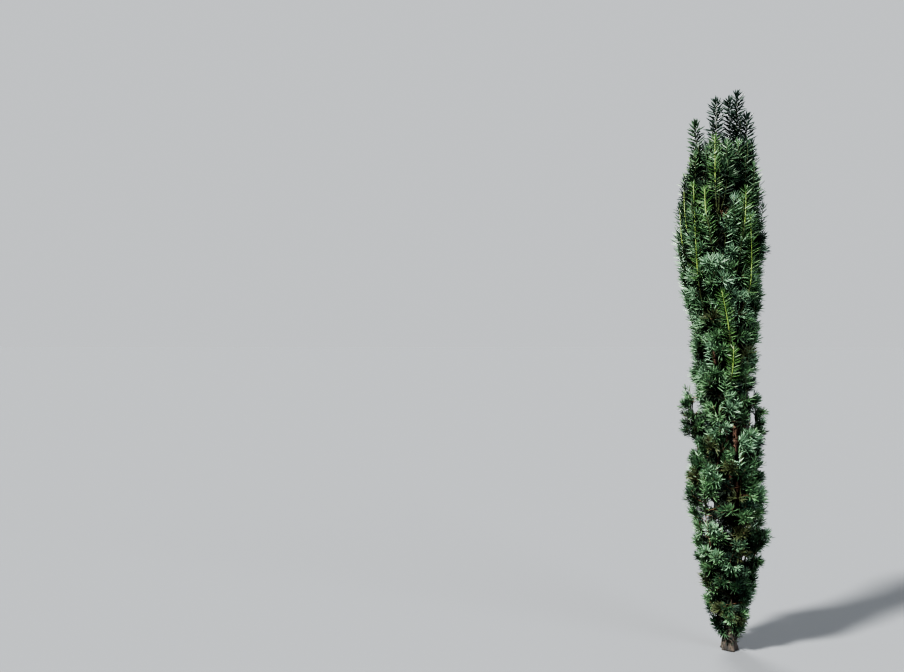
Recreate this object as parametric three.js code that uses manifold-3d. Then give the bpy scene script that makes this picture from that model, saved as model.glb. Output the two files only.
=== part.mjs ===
// A young irish yew: one trunk, a second stem beside it, the upright boughs that hug them, and the
// masses of needled shoots that the boughs carry. Millimetres, +Z up. The origin is the middle of
// the trunk's flat cut at ground level, and the front is seen from -Y.
import * as THREE from "three";
import { mergeVertices } from "three/addons/utils/BufferGeometryUtils.js";
import Module from "manifold-3d";

const wasm = await Module();
wasm.setup();

// The crown's outline from the front: height, sideways shift of its middle, half width.
const CROWN = [
  [60, 0, 38],
  [150, -3, 76],
  [330, -10, 104],
  [480, -8, 128],
  [540, -16, 138],
  [600, -14, 124],
  [655, -18, 124],
  [720, -4, 112],
  [860, 2, 104],
  [930, -10, 112],
  [1020, -17, 110],
  [1180, -14, 114],
  [1330, -27, 144],
  [1530, -30, 154],
  [1700, -20, 128],
  [1850, -8, 88],
  [2000, 20, 34],
];

// The rings of masses round the trunk: the heights of their feet and tops, how far below its foot a
// bough leaves its parent limb, and the angle of each in degrees from +X.
const TIERS = [
  { name: "foot", from: 58, to: 420, drop: 36, angles: [38, 168, 288] },
  { name: "low", from: 230, to: 790, drop: 90, angles: [20, 115, 225, 305] },
  { name: "middle", from: 540, to: 1200, drop: 105, angles: [-22, 70, 160, 250] },
  { name: "upper", from: 890, to: 1590, drop: 150, angles: [12, 58, 120, 180, 232, 298] },
  { name: "top", from: 1230, to: 1780, drop: 150, angles: [30, 150, 268, 206, 328] },
];

// The leading shoots that stand clear above the rest: the foot and the tip of each, the limb that
// bears it, and how far below its foot a bough leaves that limb. With no drop it tops the limb.
const LEADERS = [
  { name: "leader", foot: [24, 0, 1470], tip: [33, -2, 1978], limb: "trunk", drop: 0 },
  { name: "leader_twin", foot: [2, 50, 1500], tip: [6, 34, 1968], limb: "trunk", drop: 130 },
  { name: "leader_left", foot: [-32, -30, 1500], tip: [-39, -22, 1954], limb: "trunk", drop: 215 },
  { name: "leader_right", foot: [60, -16, 1450], tip: [66, -8, 1896], limb: "trunk", drop: 122 },
  { name: "leader_far_left", foot: [-93, 8, 1380], tip: [-112, 8, 1886], limb: "left_stem", drop: 0 },
];

// The tufts lower down that stand off from the column with daylight behind them.
const TUFTS = [
  { name: "tuft_left", foot: [-100, -22, 690], tip: [-138, -26, 906], limb: "left_stem", drop: 110 },
  { name: "tuft_right", foot: [84, 14, 640], tip: [92, 10, 862], limb: "trunk", drop: 100 },
  { name: "tuft_right_low", foot: [80, -12, 325], tip: [114, -22, 430], limb: "trunk", drop: 90 },
];

// The trunk's middle: height, x, y.
const TRUNK_PATH = [
  [0, 0, 0],
  [470, 28, 2],
  [760, 27, -2],
  [1130, 8, 3],
  [1520, 24, 0],
];
const TRUNK = { top: 1470, foot: 20, tip: 5, sides: 12, rings: 14, crowding: 1.4 };

// The foot of the trunk widens over the roots and is lobed where each one leaves it.
const FLARE = { width: 9, height: 36, lobes: 5, depth: 0.13, lobeHeight: 58, turn: 0.6 };

// The second stem leaves the trunk low down and leans out to the left as it rises.
const LEFT_STEM = {
  start: 380,
  through: [[14, -34, 640], [-34, -34, 960]],
  end: [-93, 8, 1380],
  radius: 9.5,
  tip: 5,
  fade: 12,
  sides: 8,
  rings: 9,
  clear: 125, // how far up it has parted from the trunk enough to bear boughs
};

// A bough: its radius and the most of its parent's that it has, its radius at the tip, and the
// share of its length over which it bends up into its mass.
const BOUGH = { radius: 6.5, share: 0.62, tip: 3.6, rise: 0.42, fade: 9, sides: 5, rings: 3 };
const COLLAR = 0.5; // how much thicker a limb is where it leaves its parent
const STAGGER = 28; // by which the foot of each mass in a ring is higher than the last
const TIP_SPREAD = 110; // over which the heights of their tips are spread
const GAP = 0.3; // between two pieces that touch
const ROOM = 2; // that a mass leaves round a limb and on its side of the border with the next mass
const AXIS_INSET = 52; // from the crown's outline in to the axis of a mass
const TOP_INSET = 27; // the same at the top of a mass, which is a single shoot
const SWELL = 8; // how much further out the axis runs half way up
const BEND = 4; // of the axis of a leading shoot or a tuft, half way up
const LEAST_OUT = 38; // how near the trunk's middle the axis of a mass may come
const STEM = { radius: 3.4, tip: 1.6, to: 0.97, sides: 3, rings: 4 };

// The heart of a mass: its greatest radius, how much slimmer it is in a leader or a tuft, how far
// inside the crown's outline it ends, the stretch of the axis that it covers, the share of its
// width that it has at its ends, how much it narrows upwards, how deep its three flutes are, and
// the step by which it widens from the axis as far as it may.
const CORE = { radius: 86, slim: 0.5, inset: 9, from: 0.02, to: 0.88, sides: 7, rings: 5 };
const CORE_FORM = { ends: 0.3, narrowing: 0.2, flute: 0.12, step: 3 };

// The side shoots of a mass: the stretch of the axis that they leave, how far round they fan in
// degrees, how far each reaches out and up, and how much less far out it does in a slim mass.
const SHOOTS = { count: 3, from: 0.4, to: 0.8, fan: 110, reach: [30, 46], rise: [95, 165], slim: 0.8 };
const SHOOT = { radius: 7, sides: 3, rings: 2, below: 15 }; // it ends so far below its mass's tip
const LEADING_FROM = 0.6; // share of the axis above which it is itself a needled shoot

// The needles, larger than life: their size, how many each kind of stalk bears, how far round the
// heart of a mass they fan in degrees, how deep they are sunk in it, and how far they reach out.
const NEEDLE = { length: 54, width: 16, thick: 5, sunk: 12, reach: 20 };
const NEEDLES_ON = { shoot: 3, tip: 5, core: 29, slimCore: 12 };
const NEEDLE_FAN = 105;
const NEEDLE_TILT = [56, 24]; // degrees from the shoot, at its foot and at its tip
const NEEDLES_TO = 0.88; // share of a shoot at which its last needle stands
const PROBES = [0.35, 0.7, 1]; // shares of a needle at which its place is tried
const GOLDEN = THREE.MathUtils.degToRad(137.508);
const GOLDEN_SHARE = 0.618;
const AXIS_SAMPLES = 24;
const LIMB_SAMPLES = 80;
const BARK = 0x5a3d2e;
const GREEN = 0x21402a;

const UP = new THREE.Vector3(0, 0, 1);
const vec = ([x, y, z]) => new THREE.Vector3(x, y, z);
const { lerp, clamp, smoothstep, degToRad } = THREE.MathUtils;
const sampled = (at, count) => Array.from({ length: count + 1 }, (_, i) => at(i / count));

// A repeatable stream of numbers from 0 to 1.
function stream(seed) {
  let state = Math.imul(seed + 1, 2654435761) >>> 0;
  return () => {
    state = (Math.imul(state, 1664525) + 1013904223) >>> 0;
    return state / 4294967296;
  };
}

// The row of a table at a height, eased or straight between the rows that are given.
function rowAt(table, z, ease) {
  const above = table.findIndex((row) => row[0] >= z);
  const i = above < 0 ? table.length - 1 : Math.max(1, above);
  const [low, high] = [table[i - 1], table[i]];
  const share = clamp((z - low[0]) / (high[0] - low[0]), 0, 1);
  const t = ease ? smoothstep(share, 0, 1) : share;
  return [lerp(low[1], high[1], t), lerp(low[2], high[2], t)];
}

const crownAt = (z) => rowAt(CROWN, z, false);

function trunkAt(z) {
  const [x, y] = rowAt(TRUNK_PATH, z, true);
  return new THREE.Vector3(x, y, z);
}

// A three.js shape as a solid that can be joined and cut.
function solid(shape) {
  shape.deleteAttribute("normal");
  shape.deleteAttribute("uv");
  const merged = mergeVertices(shape, 1e-4);
  const index = merged.index.array;
  const triVerts = [];
  for (let i = 0; i < index.length; i += 3) {
    const [a, b, c] = index.slice(i, i + 3);
    if (a !== b && b !== c && a !== c) triVerts.push(a, b, c);
  }
  const vertProperties = merged.getAttribute("position").array;
  const mesh = new wasm.Mesh({ numProp: 3, vertProperties, triVerts: new Uint32Array(triVerts) });
  return new wasm.Manifold(mesh);
}

// The way a path runs at t.
function direction(at, t) {
  const step = 0.002;
  return at(Math.min(1, t + step)).sub(at(Math.max(0, t - step))).normalize();
}

// Two directions square to a path: the one nearest to +X, and the one in front of it.
function square(along) {
  const side = new THREE.Vector3(1, 0, 0).addScaledVector(along, -along.x).normalize();
  return [side, new THREE.Vector3().crossVectors(side, along)];
}

function squareOut(along, angle) {
  const [side, front] = square(along);
  return side.multiplyScalar(Math.cos(angle)).addScaledVector(front, Math.sin(angle));
}

// A closed tube along a path: at(t) is its middle and radius(t, angle) its half thickness there.
// Its rings stand square to the path, or level.
function tube(at, radius, sides, rings, level = false) {
  const shape = new THREE.CylinderGeometry(1, 1, 1, sides, rings);
  const place = shape.getAttribute("position");
  for (let i = 0; i < place.count; i += 1) {
    const t = clamp(place.getY(i) + 0.5, 0, 1);
    const [x, z] = [place.getX(i), place.getZ(i)];
    const angle = Math.atan2(z, x);
    const along = level ? UP.clone() : direction(at, t);
    const [side, front] = square(along);
    const out = Math.hypot(x, z) < 0.5 ? 0 : radius(t, angle);
    const point = at(t).addScaledVector(side, out * Math.cos(angle));
    point.addScaledVector(front, out * Math.sin(angle));
    place.setXYZ(i, point.x, point.y, point.z);
  }
  return solid(shape);
}

// One needle as a flat three-sided spike, from its root along a direction.
function needle(root, along, across) {
  const shape = new THREE.ConeGeometry(1, 1, 3, 1);
  const place = new THREE.Matrix4().makeBasis(
    across.clone().multiplyScalar(NEEDLE.width / 2),
    along.clone().multiplyScalar(NEEDLE.length),
    new THREE.Vector3().crossVectors(across, along).multiplyScalar(NEEDLE.thick / 2),
  );
  place.setPosition(root.clone().addScaledVector(along, NEEDLE.length / 2));
  return solid(shape.applyMatrix4(place));
}

// What is left of a solid once its loose scraps and sealed hollows are dropped.
function largest(made) {
  return made.decompose().reduce((best, next) => (next.volume() > best.volume() ? next : best));
}

// A limb, cut clear of the thicker ones that it leaves or passes.
function limbOf(name, at, radius, { sides, rings }, thicker) {
  const level = thicker.length === 0;
  const whole = tube(at, radius, sides, rings, level);
  const shape = largest(thicker.reduce((left, limb) => left.subtract(limb.swollen), whole));
  const swollen = tube(at, (t, angle) => radius(t, angle) + GAP, sides, rings, level);
  const samples = sampled((t) => ({ middle: at(t), radius: radius(t, 0) }), LIMB_SAMPLES);
  return { name, at, radius, shape, swollen, samples };
}

// The taper of a limb, with a collar at its foot that fades along it.
function tapered(t, foot, tip, fade) {
  return lerp(foot, tip, t) * (1 + COLLAR * Math.exp(-fade * t));
}

function makeTrunk() {
  const height = (t) => TRUNK.top * t ** TRUNK.crowding; // closer rings round the flare
  const radius = (t, angle) => {
    const z = height(t);
    const root = Math.cos(FLARE.lobes * angle + FLARE.turn);
    const lobe = FLARE.depth * Math.exp(-z / FLARE.lobeHeight) * root;
    const flare = FLARE.width * Math.exp(-z / FLARE.height);
    return (lerp(TRUNK.foot, TRUNK.tip, z / TRUNK.top) + flare) * (1 + lobe);
  };
  return limbOf("trunk", (t) => trunkAt(height(t)), radius, TRUNK, []);
}

function makeLeftStem(trunk) {
  const points = [trunkAt(LEFT_STEM.start), ...LEFT_STEM.through.map(vec), vec(LEFT_STEM.end)];
  const curve = new THREE.CubicBezierCurve3(...points);
  const radius = (t) => tapered(t, LEFT_STEM.radius, LEFT_STEM.tip, LEFT_STEM.fade);
  return limbOf("left_stem", (t) => curve.getPoint(t), radius, LEFT_STEM, [trunk]);
}

// How far along a limb that rises all the way it passes a height.
function shareAt(limb, z) {
  let [low, high] = [0, 1];
  for (let i = 0; i < 40; i += 1) {
    const middle = (low + high) / 2;
    if (limb.at(middle).z < z) low = middle;
    else high = middle;
  }
  return low;
}

const limbAt = (limb, z) => limb.at(shareAt(limb, z));
const radiusAt = (limb, z) => limb.radius(shareAt(limb, z), 0);

// A mass on its axis, which is a bend from its foot to its tip that passes a point half way up.
function massOf(name, foot, middle, tip, growth) {
  const control = middle.clone().multiplyScalar(2).addScaledVector(foot, -0.5).addScaledVector(tip, -0.5);
  const curve = new THREE.QuadraticBezierCurve3(foot, control, tip);
  const axis = (t) => curve.getPoint(t);
  return { name, axis, samples: sampled(axis, AXIS_SAMPLES), ...growth };
}

// A point at an angle round the crown's middle, so far in from the crown's outline, and not too
// near the trunk.
function inCrown(z, angle, inset) {
  const [x, halfWidth] = crownAt(z);
  const out = Math.max(LEAST_OUT, halfWidth - inset);
  const middle = trunkAt(z);
  const away = new THREE.Vector3(x + out * Math.cos(angle), out * Math.sin(angle), z).sub(middle);
  return middle.add(away.setLength(Math.max(LEAST_OUT, away.length())));
}

// The stem nearest to a point at the height where its bough would leave.
function parentOf(foot, drop, stems) {
  const start = foot.z - drop;
  const open = stems.filter(({ name, at }) => name === "trunk" || at(0).z < start - LEFT_STEM.clear);
  const far = open.map((stem) => limbAt(stem, start).distanceTo(foot));
  return open[far.indexOf(Math.min(...far))];
}

// Every mass of the crown: its axis, the limb that bears it and how its bough leaves that limb.
function planMasses(stems) {
  const masses = [];
  for (const tier of TIERS) {
    for (const [k, degrees] of tier.angles.entries()) {
      const random = stream(masses.length);
      const angle = degToRad(degrees);
      const from = tier.from + STAGGER * k;
      const to = tier.to + TIP_SPREAD * (random() - 0.5);
      const foot = inCrown(from, angle, AXIS_INSET);
      const middle = inCrown((from + to) / 2, angle, AXIS_INSET - SWELL);
      const tip = inCrown(to, angle, TOP_INSET);
      const { drop } = tier;
      const name = `${tier.name}_${k + 1}`;
      const limb = parentOf(foot, drop, stems);
      masses.push(massOf(name, foot, middle, tip, { limb, drop, random, slim: false }));
    }
  }
  for (const { name, foot, tip, limb: limbName, drop } of [...LEADERS, ...TUFTS]) {
    const limb = stems.find((stem) => stem.name === limbName);
    const start = drop ? vec(foot) : limb.at(1);
    const middle = start.clone().lerp(vec(tip), 0.5);
    middle.addScaledVector(UP.clone().cross(vec(tip).sub(start)).normalize(), BEND);
    const random = stream(masses.length);
    masses.push(massOf(name, start, middle, vec(tip), { limb, drop, random, slim: true }));
  }
  return masses;
}

function makeBough(mass, thicker) {
  const foot = mass.axis(0);
  const start = limbAt(mass.limb, foot.z - mass.drop);
  const back = -BOUGH.rise * foot.distanceTo(start);
  const control = foot.clone().addScaledVector(direction(mass.axis, 0), back);
  const curve = new THREE.QuadraticBezierCurve3(start, control, foot);
  const thick = Math.min(BOUGH.radius, BOUGH.share * radiusAt(mass.limb, start.z));
  const radius = (t) => tapered(t, thick, BOUGH.tip, BOUGH.fade);
  return limbOf(`bough_${mass.name}`, (t) => curve.getPoint(t), radius, BOUGH, thicker);
}

// The shoots of a mass leave its axis one above another, fan out on the side that faces away
// from the crown's middle, and turn upwards.
function planShoots(mass) {
  const shoots = [];
  for (let k = 0; k < SHOOTS.count; k += 1) {
    const base = mass.axis(lerp(SHOOTS.from, SHOOTS.to, (k + 0.6 * mass.random()) / SHOOTS.count));
    const [x] = crownAt(base.z);
    const away = Math.atan2(base.y, base.x - x);
    const fan = 2 * ((k * GOLDEN_SHARE + mass.random() * 0.2) % 1) - 1;
    const angle = away + degToRad(mass.slim ? 180 : SHOOTS.fan) * fan;
    const reach = lerp(...SHOOTS.reach, mass.random()) * (mass.slim ? SHOOTS.slim : 1);
    const rise = lerp(...SHOOTS.rise, mass.random());
    const out = new THREE.Vector3(Math.cos(angle), Math.sin(angle), 0);
    const tip = base.clone().addScaledVector(out, reach).addScaledVector(UP, rise);
    tip.z = Math.min(tip.z, mass.axis(1).z - SHOOT.below);
    if (!mass.slim) keepInCrown(tip);
    const control = base.clone().lerp(tip, 0.8).setZ(base.z + 0.35 * rise);
    const curve = new THREE.QuadraticBezierCurve3(base, control, tip);
    shoots.push({ at: (t) => curve.getPoint(t), phase: 6 * mass.random() });
  }
  return shoots;
}

// Draws a shoot's tip in until its needles end at the crown's outline.
function keepInCrown(tip) {
  const [x, halfWidth] = crownAt(tip.z);
  const most = Math.max(10, halfWidth - NEEDLE.reach);
  const share = Math.min(1, most / Math.hypot(tip.x - x, tip.y));
  tip.set(x + (tip.x - x) * share, tip.y * share, tip.z);
}

// The needles of a shoot stand round it in a spiral, flatter at its foot than at its tip.
function needlesOf(at, from, count, phase) {
  const needles = [];
  for (let k = 0; k < count; k += 1) {
    const t = lerp(from, NEEDLES_TO, k / (count - 1));
    const along = direction(at, t);
    const radial = squareOut(along, phase + k * GOLDEN);
    const across = new THREE.Vector3().crossVectors(along, radial);
    const tilt = degToRad(lerp(...NEEDLE_TILT, t));
    const way = along.multiplyScalar(Math.cos(tilt)).addScaledVector(radial, Math.sin(tilt));
    needles.push({ root: at(t), way, across });
  }
  return needles;
}

// How far a point is from a path kept as a row of points.
function distanceTo(samples, point) {
  return Math.min(...samples.map((sample) => sample.distanceTo(point)));
}

// Whether a point is in a mass's own space: on its side of the borders with the other masses,
// half way between their axes, and clear of every limb.
function isOwn(mass, masses, limbs, point) {
  const own = distanceTo(mass.samples, point) + 2 * ROOM;
  if (masses.some((other) => other !== mass && distanceTo(other.samples, point) < own)) return false;
  return limbs.every((limb) => limb.samples.every((s) => s.middle.distanceTo(point) > s.radius + ROOM));
}

// How far a point stands out of the crown's outline.
function outsetOf({ x, y, z }) {
  const [middle, halfWidth] = crownAt(z);
  return Math.hypot(x - middle, y) - halfWidth;
}

// The dense heart of a mass: as wide at each height and angle as its own space lets it be.
function coreOf(mass, own, share) {
  const full = CORE.radius * share * (mass.slim ? CORE.slim : 1);
  const { ends, narrowing, flute, step } = CORE_FORM;
  const wide = (t) => full * lerp(ends, 1, Math.sqrt(Math.sin(Math.PI * t ** 0.85))) * (1 - narrowing * t);
  const at = (t) => mass.axis(lerp(CORE.from, CORE.to, t));
  const fits = (point) => own(point) && (mass.slim || outsetOf(point) < -CORE.inset);
  const radius = (t, angle) => {
    const way = squareOut(direction(at, t), angle);
    const most = wide(t) * (1 - flute + flute * Math.sin(3 * angle + 9 * t));
    let out = step;
    for (let next = out + step; next < most; next += step) {
      const point = at(t).addScaledVector(way, next);
      if (!fits(point)) break;
      out = next;
    }
    return out;
  };
  return { at, radius, shape: tube(at, radius, CORE.sides, CORE.rings) };
}

// The angle, square to its axis, at which a mass faces away from the crown's middle.
function awayAngle(mass, point, along) {
  const [side, front] = square(along);
  const away = new THREE.Vector3(point.x - crownAt(point.z)[0], point.y, 0);
  return Math.atan2(away.dot(front), away.dot(side));
}

// The needles that stand out of the heart of a mass, most of them on its outer side.
function needlesOn(mass) {
  const { core } = mass;
  const needles = [];
  const count = mass.slim ? NEEDLES_ON.slimCore : NEEDLES_ON.core;
  const fan = degToRad(mass.slim ? 180 : NEEDLE_FAN);
  for (let k = 0; k < count; k += 1) {
    const t = (k + 0.7) / count;
    const along = direction(core.at, t);
    const angle = awayAngle(mass, core.at(t), along) + fan * (2 * ((k * GOLDEN_SHARE) % 1) - 1);
    const radial = squareOut(along, angle);
    const tilt = degToRad(lerp(...NEEDLE_TILT, 0.7 * t));
    const across = new THREE.Vector3().crossVectors(along, radial);
    const way = along.multiplyScalar(Math.cos(tilt)).addScaledVector(radial, Math.sin(tilt));
    const root = core.at(t).addScaledVector(radial, Math.max(0, core.radius(t, angle) - NEEDLE.sunk));
    needles.push({ root, way, across });
  }
  return needles;
}

const isClear = (piece, others) => others.every((other) => piece.minGap(other, 1) > GAP);

// The stem of a mass runs up its axis and starts just clear of the limb that bears it.
function stemOf(mass) {
  const tilt = mass.drop ? 0 : direction(mass.axis, 0).angleTo(direction(mass.limb.at, 1));
  const start = (1.2 * GAP + STEM.radius * Math.sin(tilt)) / mass.axis(1).distanceTo(mass.axis(0));
  const at = (t) => mass.axis(lerp(start, STEM.to, t));
  return tube(at, (t) => lerp(STEM.radius, STEM.tip, t), STEM.sides, STEM.rings);
}

// Gives each mass its core, smaller where it would touch the core or the stem of another mass.
function addCores(masses, limbs) {
  const cores = [];
  for (const mass of masses) {
    const own = (point) => isOwn(mass, masses, limbs, point);
    const stalks = masses.filter((other) => other !== mass).map((other) => other.stem);
    for (let share = 1; share > 0.2; share -= 0.1) {
      mass.core = coreOf(mass, own, share);
      if (isClear(mass.core.shape, [...cores, ...stalks])) break;
    }
    cores.push(mass.core.shape);
  }
}

// A mass as one solid: stem, core, and the shoots and needles that stay clear of its neighbours,
// all cut clear of the limbs.
function makeMass(mass, masses, limbs, others) {
  const own = (point) => isOwn(mass, masses, limbs, point);
  const pieces = [mass.stem, mass.core.shape];
  const addNeedles = (needles) => {
    for (const { root, way, across } of needles) {
      const at = (share) => root.clone().addScaledVector(way, share * NEEDLE.length);
      if (!PROBES.map(at).every(own)) continue;
      const piece = needle(root, way, across);
      if (isClear(piece, others)) pieces.push(piece);
    }
  };
  addNeedles(needlesOn(mass));
  const leading = { at: (t) => mass.axis(lerp(LEADING_FROM, 1, t)), phase: 0, main: true };
  const shoots = [...planShoots(mass), leading];
  for (const shoot of shoots) {
    if (!sampled(shoot.at, 8).slice(2).every(own)) continue;
    const bare = tube(shoot.at, (t) => SHOOT.radius * (1 - t ** 2), SHOOT.sides, SHOOT.rings);
    if (!isClear(bare, others)) continue;
    pieces.push(bare);
    const count = shoot.main ? NEEDLES_ON.tip : NEEDLES_ON.shoot;
    addNeedles(needlesOf(shoot.at, shoot.main ? 0.1 : 0.3, count, shoot.phase));
  }
  const touched = limbs.filter((limb) => !isClear(limb.shape, pieces));
  return largest(touched.reduce((left, limb) => left.subtract(limb.swollen), wasm.Manifold.union(pieces)));
}

function meshOf(made, name, color, roughness) {
  const { vertProperties, triVerts } = made.getMesh();
  const shape = new THREE.BufferGeometry();
  shape.setAttribute("position", new THREE.BufferAttribute(vertProperties, 3));
  shape.setIndex(new THREE.BufferAttribute(triVerts, 1));
  shape.computeVertexNormals();
  const material = new THREE.MeshStandardMaterial({ color, roughness, metalness: 0, flatShading: true });
  const mesh = new THREE.Mesh(shape, material);
  mesh.name = name;
  return mesh;
}

const trunk = makeTrunk();
const stems = [trunk, makeLeftStem(trunk)];
const masses = planMasses(stems);
const limbs = [...stems];
for (const mass of masses.filter(({ drop }) => drop)) limbs.push(makeBough(mass, limbs));

const tree = new THREE.Group();
tree.name = "irish_yew";
for (const limb of limbs) tree.add(meshOf(limb.shape, limb.name, BARK, 0.9));
for (const mass of masses) mass.stem = stemOf(mass);
addCores(masses, limbs);
for (const mass of masses) {
  const next = masses.filter((other) => other !== mass).map((other) => other.shape || other.core.shape);
  mass.shape = makeMass(mass, masses, limbs, [...limbs.map((limb) => limb.shape), ...next]);
  tree.add(meshOf(mass.shape, mass.name, GREEN, 0.6));
}

export default tree;
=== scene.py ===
import math
from collections import namedtuple

import bpy
import numpy as np
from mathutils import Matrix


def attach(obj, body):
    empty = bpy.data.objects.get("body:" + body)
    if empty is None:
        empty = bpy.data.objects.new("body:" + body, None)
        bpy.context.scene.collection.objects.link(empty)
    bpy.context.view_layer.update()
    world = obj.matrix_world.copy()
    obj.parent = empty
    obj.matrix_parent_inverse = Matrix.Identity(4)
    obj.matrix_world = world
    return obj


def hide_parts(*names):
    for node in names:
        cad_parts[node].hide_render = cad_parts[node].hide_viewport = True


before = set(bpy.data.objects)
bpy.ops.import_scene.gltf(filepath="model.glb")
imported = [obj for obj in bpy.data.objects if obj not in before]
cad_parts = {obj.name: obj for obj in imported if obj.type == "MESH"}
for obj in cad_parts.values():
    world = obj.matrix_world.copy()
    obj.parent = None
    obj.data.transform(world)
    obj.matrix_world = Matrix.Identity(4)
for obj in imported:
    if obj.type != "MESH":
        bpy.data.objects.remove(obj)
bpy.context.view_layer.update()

# The looks of a young irish yew: the bark, and on each mass's axis the finer twigs and the needles.
# Lengths are in millimetres, as in the part's source, and MM turns them into metres. The origin is
# the middle of the trunk's foot, and the front is at -Y.
MM = 0.001

# The camera stands at the height of the photo's horizon, at the distance that gives the tree its
# height in the picture, and looks as far past it on the left as the photo does.
EYE = (0.0, -3.311, 1.088)
TURN_LEFT = math.radians(17.45)
TILT_UP = math.radians(0.59)
LENS, SENSOR = 35.0, 36.0

# The floor, half its width in metres, and the surround that it runs into.
FLOOR, FLOOR_ROUGHNESS, FLOOR_REACH = (0.0760, 0.0794, 0.0854), 0.9, 400.0
SURROUND, SURROUND_STRENGTH = (0.94, 0.97, 1.0), 0.52

# The lamps: the way that each shines, its width in degrees, its strength and its colour.
SUNS = {
    "key": ((0.54, 0.68, -0.90), 7, 18.0, (1.0, 0.98, 0.92)),
    "fill": ((-0.8, 0.5, -0.35), 40, 5.0, (0.92, 0.96, 1.0)),
    "rim": ((0.35, -0.8, -0.7), 25, 7.0, (1.0, 0.99, 0.95)),
}

# The crown's outline from the front: height, sideways shift of its middle, half width.
CROWN = [
    (60, 0, 38),
    (150, -3, 76),
    (330, -10, 104),
    (480, -8, 128),
    (540, -16, 138),
    (600, -14, 124),
    (655, -18, 124),
    (720, -4, 112),
    (860, 2, 104),
    (930, -10, 112),
    (1020, -17, 110),
    (1180, -14, 114),
    (1330, -27, 144),
    (1530, -30, 154),
    (1700, -20, 128),
    (1850, -8, 88),
    (2000, 20, 34),
]

# The rings of masses: heights of their feet and tops, how far below its foot a bough leaves its
# parent limb, and the angle of each in degrees from +X.
TIERS = [
    ("foot", 58, 420, 36, (38, 168, 288)),
    ("low", 230, 790, 90, (20, 115, 225, 305)),
    ("middle", 540, 1200, 105, (-22, 70, 160, 250)),
    ("upper", 890, 1590, 150, (12, 58, 120, 180, 232, 298)),
    ("top", 1230, 1780, 150, (30, 150, 268, 206, 328)),
]

# The leading shoots and the tufts that stand off: foot, tip, limb that bears it, drop of the bough.
LEADERS = [
    ("leader", (24, 0, 1470), (33, -2, 1978), "trunk", 0),
    ("leader_twin", (2, 50, 1500), (6, 34, 1968), "trunk", 130),
    ("leader_left", (-32, -30, 1500), (-39, -22, 1954), "trunk", 215),
    ("leader_right", (60, -16, 1450), (66, -8, 1896), "trunk", 122),
    ("leader_far_left", (-93, 8, 1380), (-112, 8, 1886), "left_stem", 0),
]
TUFTS = [
    ("tuft_left", (-100, -22, 690), (-138, -26, 906), "left_stem", 110),
    ("tuft_right", (84, 14, 640), (92, 10, 862), "trunk", 100),
    ("tuft_right_low", (80, -12, 325), (114, -22, 430), "trunk", 90),
]

# The trunk: its middle by height, its top and radii, and the flare and root lobes of its foot.
TRUNK_PATH = [(0, 0, 0), (470, 28, 2), (760, 27, -2), (1130, 8, 3), (1520, 24, 0)]
TRUNK_TOP, TRUNK_FOOT, TRUNK_TIP = 1470, 20, 5
FLARE, FLARE_HEIGHT = 9, 36
ROOT_LOBES, LOBE_DEPTH, LOBE_HEIGHT, LOBE_TURN = 5, 0.13, 58, 0.6

# The second stem: where it starts, ends and is drawn to on the way, its radii, and how far above its
# start it is clear of the trunk and can bear boughs.
STEM_START, STEM_END = 380, (-93, 8, 1380)
STEM_THROUGH = [(14, -34, 640), (-34, -34, 960)]
STEM_RADIUS, STEM_TIP, STEM_CLEAR = 9.5, 5, 125

# A bough: its radius, the most of its parent's that it has, its radius at the tip, and the share of
# its length over which it bends up into its mass.
BOUGH_RADIUS, BOUGH_SHARE, BOUGH_TIP, BOUGH_RISE = 6.5, 0.62, 3.6, 0.42
COLLAR, STEM_FADE, BOUGH_FADE = 0.5, 12, 9  # how much thicker a limb starts, and how fast it slims
STAGGER, TIP_SPREAD = 28, 110  # of the feet of the masses in a ring, and of their tips
ROOM = 2  # that a mass leaves on its side of the border with the next one
AXIS_INSET, TOP_INSET = 52, 27  # of the axis of a mass inside the crown's outline, and of its top
SWELL, BEND = 8, 4  # by which an axis runs further out half way up, in the rings and elsewhere
LEAST_OUT = 38  # how near the trunk's middle the axis of a mass may come
STALK_RADIUS, STALK_TIP, STALK_TO = 3.4, 0.6, 0.5  # of the wood on an axis, and how far up it goes
GOLDEN = math.radians(137.508)
GOLDEN_SHARE = 0.618

# How many points the paths have, closer ones round the trunk's flare.
TRUNK_POINTS, TRUNK_CROWDING = 260, 1.25
STEM_POINTS, BOUGH_POINTS, STALK_POINTS, AXIS_POINTS = 150, 26, 30, 25

UP = np.array([0.0, 0.0, 1.0])


def lerp(a, b, t):
    return a + (b - a) * t


def stream(seed):
    """A repeatable stream of numbers from 0 to 1, the same as in the part's source."""
    state = (seed + 1) * 2654435761 % 2**32
    while True:
        state = (state * 1664525 + 1013904223) % 2**32
        yield state / 2**32


def row_at(table, z, ease):
    """The row of a table at a height, eased or straight between the rows that are given."""
    i = next((n for n, row in enumerate(table) if row[0] >= z), len(table) - 1)
    low, high = table[max(1, i) - 1], table[max(1, i)]
    t = min(1.0, max(0.0, (z - low[0]) / (high[0] - low[0])))
    if ease:
        t = t * t * (3 - 2 * t)
    return lerp(low[1], high[1], t), lerp(low[2], high[2], t)


def crown_at(z):
    """The sideways place of the crown's middle and half its width at a height."""
    return row_at(CROWN, z, False)


def trunk_at(z):
    """The middle of the trunk at a height."""
    return np.array([*row_at(TRUNK_PATH, z, True), z])


def unit(v):
    return v / np.linalg.norm(v, axis=-1, keepdims=True)


def bezier(points, t):
    """The points of a Bezier curve at an array of shares of it."""
    layers = [np.tile(np.asarray(p, float), (len(t), 1)) for p in points]
    while len(layers) > 1:
        layers = [a + (b - a) * t[:, None] for a, b in zip(layers, layers[1:])]
    return layers[0]


def curve(points, count):
    """A Bezier curve as a path of so many points."""
    return bezier(points, np.linspace(0, 1, count))


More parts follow.
